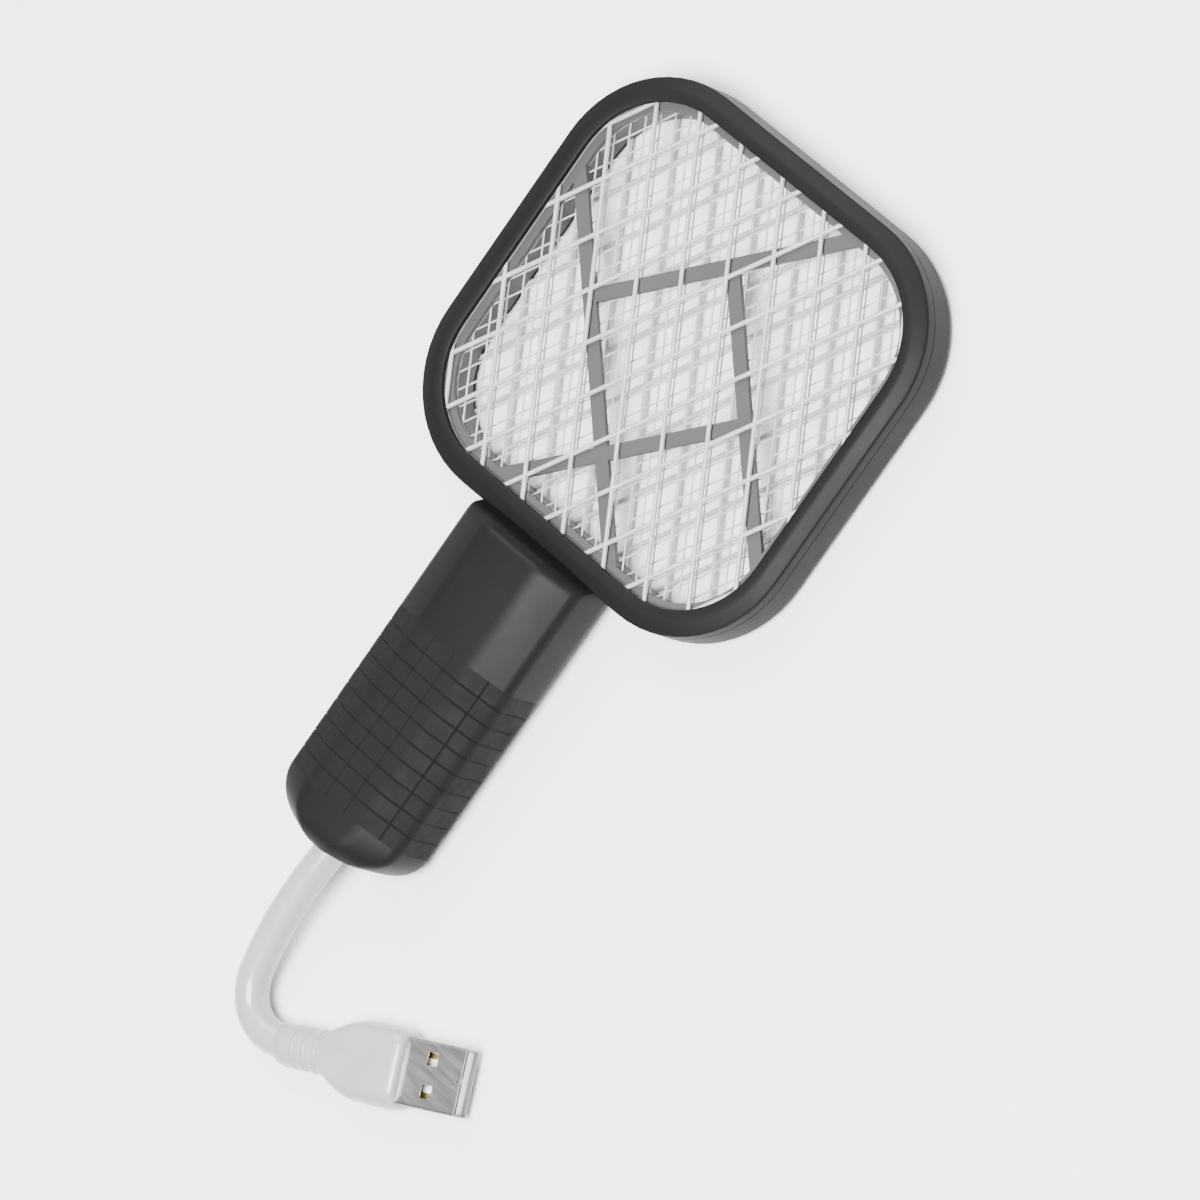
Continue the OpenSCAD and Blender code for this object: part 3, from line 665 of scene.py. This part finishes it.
@dataclass
class Head:
    """The two half rims, the guards, the spacer frames and the live mesh."""

    plan: HeadPlan = field(default_factory=HeadPlan)
    split: float = 7.0
    mesh_z: float = 7.05
    thick: float = 10.4
    wall: float = 1.8
    edge: float = 1.8
    slope: Pair = (2.7, 0.85)
    lip: float = 1.0
    front_in: float = 4.6
    rear_in: float = 5.5
    seam: float = 0.12
    guard_cell: Pair = (10.5, 16.4)
    guard_wire: float = 0.43
    fine_cell: Pair = (3.5, 5.5)
    fine_wire: float = 0.17
    guard_gap: float = 0.02
    guard_inset: float = 2.4
    guard_outer: float = 2.1
    guard_half: float = 0.35
    fine_gap: float = 0.16
    fine_inset: float = 5.4
    fine_band: Pair = (5.0, 5.8)
    fine_half: float = 0.33

    def front_rim(self) -> Form:
        """The front half rim, with a soft outer edge and a fine seam at the split.

        Returns:
            The half rim.
        """
        form = Form()
        t = self.thick
        run, fall = self.slope
        profile = [(self.wall, self.split), (self.seam, self.split),
                   (0.0, self.split + self.seam), (0.0, t - fall - 0.5)]
        profile += [(0.5 - 0.5 * math.cos(math.radians(a)),
                     t - fall - 0.4 + 0.5 * math.sin(math.radians(a)))
                    for a in (18, 36, 54, 72)]
        profile += [(run - 0.5, t - 0.13), (run - 0.2, t - 0.05), (run + 0.1, t - 0.01),
                    (run + 0.5, t), (self.front_in - 0.4, t), (self.front_in - 0.12, t - 0.1),
                    (self.front_in, t - 0.35), (self.front_in, t - self.lip),
                    (self.wall, t - self.lip)]
        self.plan.sweep(form, profile)
        return form

    def rear_rim(self) -> Form:
        """The rear half rim.

        Returns:
            The half rim.
        """
        form = Form()
        e = self.edge
        profile = [(self.wall, self.split), (self.wall, self.lip), (self.rear_in, self.lip),
                   (self.rear_in, 0.35), (self.rear_in - 0.35, 0.0)]
        profile += [(e - e * math.sin(math.radians(a)), e - e * math.cos(math.radians(a)))
                    for a in range(0, 91, 9)]
        profile += [(0.0, self.split - self.seam), (self.seam, self.split)]
        self.plan.sweep(form, profile)
        return form

    def grid(self, form: Form, cell: Pair, radius: float, z: float, gap: float, inset: float,
             sides: int) -> None:
        """Lays two crossed layers of straight wires.

        Args:
            form: the form that receives them.
            cell: diamond size across and along.
            radius: wire radius.
            z: height of the crossing plane.
            gap: distance of each layer's middle from that plane.
            inset: where the wires stop.
            sides: faces round a wire.
        """
        angle = math.degrees(math.atan2(cell[0], cell[1]))
        pitch = cell[0] * cell[1] / math.hypot(*cell)
        count = int(70 / pitch)
        for turn in (-1, 1):
            for k in range(-count, count + 1):
                ends = self.plan.chord(k * pitch, turn * angle, inset)
                if ends is None:
                    continue
                lift = Vector((0, 0, z + turn * gap))
                form.rod(ends[0] + lift, ends[1] + lift, radius, sides)

    def band(self, form: Form, outer: float, inner: float, z: float, thick: float) -> None:
        """Adds the flat metal band that the wire ends are welded to.

        Args:
            form: the form that receives it.
            outer: inset of its outer edge.
            inner: inset of its inner edge.
            z: height of its underside.
            thick: its thickness.
        """
        self.plan.sweep(form, [(outer, z), (inner, z), (inner, z + thick), (outer, z + thick)], 10)

    def guards(self) -> None:
        """Makes the front and rear guards of round wire."""
        for name, node, z, lip in (("front_guard_wires", "front_guard", 8.95, 4.5),
                                   ("rear_guard_wires", "rear_guard", 1.45, 5.4)):
            form = Form()
            self.grid(form, self.guard_cell, self.guard_wire, z, self.guard_gap,
                      self.guard_inset, 12)
            self.band(form, self.guard_outer, lip, z - self.guard_half, 2 * self.guard_half)
            form.piece(name, GUARD_WIRE, replaces=[node], weld=False)

    def live_mesh(self) -> None:
        """Makes the fine live mesh between the two spacer frames."""
        form = Form()
        self.grid(form, self.fine_cell, self.fine_wire, self.mesh_z, self.fine_gap,
                  self.fine_inset, 6)
        self.band(form, *self.fine_band, self.mesh_z - self.fine_half, 2 * self.fine_half)
        form.piece("live_mesh", LIVE_WIRE, replaces=["centre_mesh"], weld=False)

    def build(self) -> None:
        """Makes everything in the head apart from the rims, which join the handle."""
        self.guards()
        self.live_mesh()
        dress("front_spacer", SPACER)
        dress("rear_spacer", SPACER_DARK)


# --------------------------------------------------------------------------- handle


@dataclass
class Handle:
    """The handle halves, the grip and the rear controls."""

    head: Head
    half_w: float = 14.4
    thick: float = 16.7
    flat: float = 6.7
    flank: float = 3.4
    rear_cut: float = 2.8
    end_y: float = -73.5
    neck_y: float = -8.2
    dome_l: float = 8.8
    grip_low: float = -64.7
    grip_high: float = -30.7
    grip_t: float = 1.0
    grip_row: float = 3.4
    groove: float = 0.16
    groove_half: float = 0.22
    rear_creep: float = 0.414
    flank_creep: float = 0.652
    flat_creep: float = 0.211
    groove_x: float = 2.5
    rear_groove_x: float = 7.5
    corner: float = 1.5
    wall: float = 2.4
    cord_z: float = 8.35
    cord_hole: float = 3.9
    lamp_r: float = 1.4
    screw_r: float = 1.35
    button_y: float = -24.2
    button_r: float = 4.2
    lamp_at: Pair = (0.0, -16.4)
    screws: tuple[Pair, ...] = ((-8.4, -12.2), (8.4, -12.2), (-7.0, -66.3), (7.0, -66.3),
                                (-33.98, 0.22), (33.98, 0.22), (-33.98, 65.08), (33.98, 65.08))

    def section(self, inset: float) -> list[Pair]:
        """The handle's outline across: flat front, sloping flanks.

        Args:
            inset: how far it is drawn in.

        Returns:
            The outline's (x, z) corners.
        """
        w, t, i = self.half_w - inset, self.thick, inset
        right = [(self.half_w - self.rear_cut - self.rear_creep * i, i),
                 (w, self.rear_cut + self.rear_creep * i),
                 (w, t - self.flank - self.flank_creep * i),
                 (self.flat - self.flat_creep * i, t - i)]
        return right + [(-x, z) for x, z in reversed(right)]

    def block(self, inset: float = 0.0) -> Form:
        """The handle as a full block with a domed end.

        Args:
            inset: how far it is drawn in on every side.

        Returns:
            The block.
        """
        form = Form()
        low, high = self.end_y + inset, self.neck_y + 1.8 - inset
        rings = [[form.bm.verts.new((x, y, z)) for x, z in self.section(inset)]
                 for y in (low, high)]
        form.bm.faces.new(rings[0])
        form.bm.faces.new(list(reversed(rings[1])))
        for k in range(8):
            j = (k + 1) % 8
            form.bm.faces.new((rings[0][k], rings[1][k], rings[1][j], rings[0][j]))
        bmesh.ops.recalc_face_normals(form.bm, faces=list(form.bm.faces))
        form.ease(form.long_edges(1), self.corner, 5)
        self.dome(form, inset)
        self.ramp(form, high)
        return form

    def dome(self, form: Form, inset: float) -> None:
        """Rounds the cord end of a block in plan and in thickness.

        Args:
            form: the block.
            inset: how far it is drawn in.
        """
        end = self.end_y + inset
        length = self.dome_l - inset
        centre = self.end_y + self.dome_l
        stations = [end + length * (1 - math.cos(math.radians(a))) for a in range(14, 91, 7)]
        for y in stations:
            form.slice((0, y, 0), (0, 1, 0))
        for y in [end, *stations]:
            u = min((centre - y) / length, 0.992)
            v = max(1.0 - (y - end) / (0.5 * length), 0.0)
            slim = 0.5 + 0.5 * math.sqrt(1.0 - v * v)
            bmesh.ops.scale(form.bm, vec=(math.sqrt(1.0 - u * u), 1.0, slim),
                            space=Matrix.Translation((0, 0, -self.thick / 2)),
                            verts=form.near(1, y))

    def ramp(self, form: Form, high: float) -> None:
        """Lets the front face fall smoothly onto the rim.

        Args:
            form: the block.
            high: where the block ends, at the head.
        """
        n, split = self.neck_y, self.head.split
        tops = ((n - 2.6, 16.7), (n - 1.9, 16.64), (n - 1.3, 16.45), (n - 0.8, 16.1),
                (n - 0.4, 15.5), (n - 0.1, 14.7), (n + 0.3, 12.6), (n + 0.65, 11.2),
                (n + 1.0, 10.5), (n + 1.4, 10.1), (high, 9.8))
        for y, top in tops:
            if y > high:
                continue
            if y < high:
                form.slice((0, y, 0), (0, 1, 0))
            front = [v for v in form.near(1, y) if v.co.z > split]
            level = (top - split) / (self.thick - split)
            bmesh.ops.scale(form.bm, vec=(1.0, 1.0, level), verts=front,
                            space=Matrix.Translation((0, 0, -split)))

    def shell(self, front: bool) -> Form:
        """One half of the handle, hollow, with the seat for the grip cut in.

        Args:
            front: the front half, or the rear one.

        Returns:
            The half as a closed form.
        """
        form = self.block()
        for y in (self.grip_low, self.grip_high):
            form.slice((0, y, 0), (0, 1, 0))
        seat = [f for f in form.bm.faces
                if self.grip_low < f.calc_center_median().y < self.grip_high]
        bmesh.ops.inset_region(form.bm, faces=seat, thickness=0.0, depth=-self.grip_t,
                               use_even_offset=True)
        form.trim((0, 0, self.head.split), (0, 0, 1), keep_above=front)
        return carve(form, self.block(self.wall))

    def grip(self, front: bool) -> Form:
        """One half of the soft grip: rows of squares between shallow grooves.

        Args:
            front: the front half, or the rear one.

        Returns:
            The half as a closed form.
        """
        form, middle = self.block(), self.thick / 2
        joins = round((self.grip_high - self.grip_low) / self.grip_row)
        for k in range(1, joins):
            y = self.grip_low + k * self.grip_row
            for step in (-self.groove_half, 0.0, self.groove_half):
                form.slice((0, y + step, 0), (0, 1, 0))
            for v in form.near(1, y):
                inward = Vector((-v.co.x / self.half_w, 0, (middle - v.co.z) / middle))
                v.co += self.groove * inward
        slope = Vector((self.flank, 0, self.half_w - self.flat)).normalized()
        mid_flank = (self.half_w + self.flat) / 2
        lines = (self.groove_x, mid_flank if front else self.rear_groove_x)
        for x in (s * line for line in lines for s in (-1, 1)):
            for step in (-self.groove_half, 0.0, self.groove_half):
                form.slice((x + step, 0, 0), (1, 0, 0))
            down = Vector((0, 0, -1 if front else 1))
            if abs(x) == mid_flank:
                down = Vector((-slope.x * (1 if x > 0 else -1), 0, -slope.z))
            for v in form.near(0, x):
                if (v.co.z > middle) == front:
                    v.co += self.groove * down
        form.trim((0, self.grip_low, 0), (0, 1, 0), keep_above=True)
        form.trim((0, self.grip_high, 0), (0, 1, 0), keep_above=False)
        form.trim((0, 0, self.head.split), (0, 0, 1), keep_above=front)
        return carve(form, self.block(self.grip_t - 0.05))

    def drills(self, front: bool) -> Form:
        """Cutters for the cord exit, the button, the lamp and the screws.

        Args:
            front: for the front half, or for the rear one.

        Returns:
            The cutters.
        """
        form = Form()
        form.rod((0, self.end_y - 2, self.cord_z), (0, self.end_y + 4, self.cord_z),
                 self.cord_hole, 40)
        if not front:
            form.rod((0, self.button_y, -1), (0, self.button_y, 3), self.button_r + 0.2, 56)
            form.rod((*self.lamp_at, -1), (*self.lamp_at, 3), self.lamp_r, 32)
            for x, y in self.screws:
                form.rod((x, y, -1), (x, y, 1.5), self.screw_r, 28)
        return form

    def casings(self) -> None:
        """Joins each half rim to its half of the handle."""
        for name, front in (("front_casing_shell", True), ("rear_casing_shell", False)):
            rim = self.head.front_rim() if front else self.head.rear_rim()
            shell = self.shell(front)
            body = carve(rim, shell, join=True)
            body = carve(body, self.drills(front))
            body.piece(name, CASING, replaces=["front_casing" if front else "rear_casing"],
                       crease=32.0)

    def build(self) -> None:
        """Makes every piece of the handle."""
        self.casings()
        for name, front in (("front_grip_pad", True), ("rear_grip_pad", False)):
            self.grip(front).piece(name, GRIP, crease=25.0,
                                   replaces=["grip_front" if front else "grip_rear"])
        dress("power_button", BUTTON)
        dress("casing_screws", SCREW)
        dress("led_lens", LENS)


# --------------------------------------------------------------------------- electronics


@dataclass
class Electronics:
    """Everything inside the handle, kept from the frame."""

    finishes: tuple[tuple[str, Finish], ...] = (
        ("switch_body", BLACK_PART), ("switch_plunger", SWITCH_STEM), ("circuit_board", BOARD),
        ("transformer_core", FERRITE), ("transformer_winding", WINDING),
        ("hv_capacitor", FILM_CAP), ("rectifier_diodes", BLACK_PART), ("resistors", RESISTOR),
        ("control_chip", BLACK_PART), ("oscillator_transistor", BLACK_PART),
        ("indicator_led", LED), ("battery_cell", CELL), ("battery_pad", FOAM),
        ("battery_leads", LEAD_RED), ("charge_leads", LEAD_WHITE), ("mesh_leads", LEAD_RED),
        ("cord_clamp", SPACER), ("cord_grommet", JACKET))

    def build(self) -> None:
        """Dresses each node."""
        for node, finish in self.finishes:
            dress(node, finish)


# --------------------------------------------------------------------------- cord and plug

ROUTE: tuple[Point, ...] = (
    (0.0, -0.0695, 0.00835), (0.0, -0.0735, 0.00835), (-0.0005, -0.079, 0.0081),
    (-0.0009, -0.085, 0.0075), (-0.0009, -0.091, 0.0067), (-0.0006, -0.0965, 0.0057),
    (0.0004, -0.1015, 0.0049), (0.0032, -0.1052, 0.0044), (0.0078, -0.1068, 0.00415),
    (0.0134, -0.1055, 0.0041), (0.0160, -0.1042, 0.0041))


@dataclass
class ChargingLead:
    """The captive cord and its plug."""

    diameter: float = 0.0062
    exit: Point = (0.0, -0.0735, 0.00835)
    plug_at: Point = (13.4, -105.5, 4.1)
    plug_turn: float = 26.0
    mould: Pair = (14.4, 8.2)
    mould_start: float = 8.0
    mould_end: float = 24.5
    tip: float = 36.5
    shell: Pair = (12.0, 4.5)
    sheet: float = 0.3
    ribs_at: float = 6.8
    rib_pitch: float = 0.45
    rib_count: int = 12
    latch_y: float = 2.9
    latch_half: float = 1.2
    latch: Pair = (7.4, 5.2)
    line: list[Vector] = field(default_factory=list)

    def path(self) -> list[Vector]:
        """A smooth line through the route, three points to each stretch.

        Returns:
            The line's points.
        """
        pts = [Vector(p) for p in ROUTE]
        line = []
        for k in range(len(pts) - 1):
            a, b = pts[max(k - 1, 0)], pts[k]
            c, d = pts[k + 1], pts[min(k + 2, len(pts) - 1)]
            for j in range(3):
                t = j / 3
                line.append(b + 0.5 * t * ((c - a) + t * ((2 * a - 5 * b + 4 * c - d)
                                                           + t * (3 * b - 3 * c + d - a))))
        return [*line, pts[-1]]

    def cord(self) -> bpy.types.Object:
        """Makes the cord as one round jacket along its line.

        Returns:
            The cord's curve object.
        """
        self.line = self.path()
        data = bpy.data.curves.new("charging_cord", "CURVE")
        data.dimensions = "3D"
        spline = data.splines.new("POLY")
        spline.points.add(len(self.line) - 1)
        for point, place in zip(spline.points, self.line):
            point.co = (*place, 1.0)
        spline.use_smooth = True
        data.bevel_depth = self.diameter / 2
        data.bevel_resolution = 7
        data.use_fill_caps = True
        obj = bpy.data.objects.new("charging_cord", data)
        bpy.context.scene.collection.objects.link(obj)
        data.materials.append(JACKET.material())
        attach(obj, SWATTER)
        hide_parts("usb_cord")
        return obj

    def placed(self) -> Matrix:
        """The plug's place and turn."""
        return Matrix.Translation(self.plug_at) @ Matrix.Rotation(
            math.radians(self.plug_turn), 4, "Z")

    def strain_relief(self) -> bpy.types.Object:
        """The grooved sleeve behind the plug.

        Returns:
            The sleeve.
        """
        form = Form()
        outer = [(3.15, -1.6), (3.45, -1.5), (3.8, -0.6), (3.9, 0.2)]
        for start in (2.0, 4.4, 6.6):
            outer += [(3.9, start), (3.55, start + 0.25), (3.5, start + 0.5),
                      (3.55, start + 0.75), (3.92, start + 1.0)]
        outer += [(3.95, 8.6), (3.0, 8.6), (3.0, -1.6)]
        form.turned(outer, axis=(1, 0, 0), steps=48)
        form.move(self.placed())
        return form.piece("plug_sleeve", PLUG_WHITE, replaces=["plug_strain_relief"], crease=50)

    def moulding(self) -> bpy.types.Object:
        """The plug's soft moulding: narrow at the cord, wide and ribbed at the shell.

        Returns:
            The moulding.
        """
        form = Form()
        w, t = self.mould
        a, b = self.mould_start, self.mould_end
        form.box((a, -w / 2, -t / 2), (b, w / 2, t / 2))
        form.ease(form.long_edges(0), 3.0, 7)
        ribs = [b - self.ribs_at + self.rib_pitch * k for k in range(self.rib_count)]
        stations = [a, a + 0.6, a + 1.4, a + 2.6, a + 4.2, a + 6.0, a + 8.0, *ribs, b - 1.0,
                    b - 0.4, b]
        widths = {a: 0.50, a + 0.6: 0.56, a + 1.4: 0.63, a + 2.6: 0.74, a + 4.2: 0.86,
                  a + 6.0: 0.95, a + 8.0: 0.995, b - 1.0: 0.965, b - 0.4: 0.94, b: 0.89}
        thins = {a: 0.93, a + 0.6: 0.955, a + 1.4: 0.97, a + 2.6: 0.985, b - 1.0: 0.98,
                 b - 0.4: 0.94, b: 0.86}
        for k, x in enumerate(ribs):
            widths[x] = 1.0 if k % 2 else 0.975
        for x in stations[1:-1]:
            form.slice((x, 0, 0), (1, 0, 0))
        for x in stations:
            bmesh.ops.scale(form.bm, vec=(1, widths.get(x, 1.0), thins.get(x, 1.0)),
                            verts=form.near(0, x))
        form.move(self.placed())
        return form.piece("plug_moulding", PLUG_WHITE, replaces=["plug_overmold"], crease=50)

    def metal_shell(self) -> bpy.types.Object:
        """The folded metal shell with its four latch holes.

        Returns:
            The shell.
        """
        w, t = self.shell
        form = Form()
        form.box((self.tip - 14, -w / 2, -t / 2), (self.tip, w / 2, t / 2))
        form.ease(form.long_edges(0), 0.55, 4)
        bore = Form()
        s = self.sheet
        bore.box((self.tip - 16, -w / 2 + s, -t / 2 + s), (self.tip + 1, w / 2 - s, t / 2 - s))
        bore.ease(bore.long_edges(0), 0.3, 3)
        form = carve(form, bore)
        holes = Form()
        half, (far, near) = self.latch_half, self.latch
        for y in (-self.latch_y, self.latch_y):
            holes.box((self.tip - far, y - half, -4), (self.tip - near, y + half, 4))
        holes.box((self.tip - 1.0, -0.15, 1), (self.tip + 1, 0.15, 4))
        form = carve(form, holes)
        form.move(self.placed())
        return form.piece("plug_metal_shell", PLUG_METAL, replaces=["plug_shell"], crease=35)

    def build(self, cord: bpy.types.Object) -> None:
        """Args:
            cord: the cord's object; not used.
        """
        pieces = [self.strain_relief(), self.moulding(), self.metal_shell()]
        dress("plug_insulator", INSULATOR)
        dress("plug_contacts", CONTACT)


def main() -> None:
    """Builds the swatter's sub-assemblies in order."""
    studio = Studio()
    studio.camera()
    lead = ChargingLead()
    cord = lead.cord()
    head = Head()
    head.build()
    Handle(head).build()
    Electronics().build()
    lead.build(cord)
    studio.light()
    studio.floor()


if __name__ == "__main__":
    main()
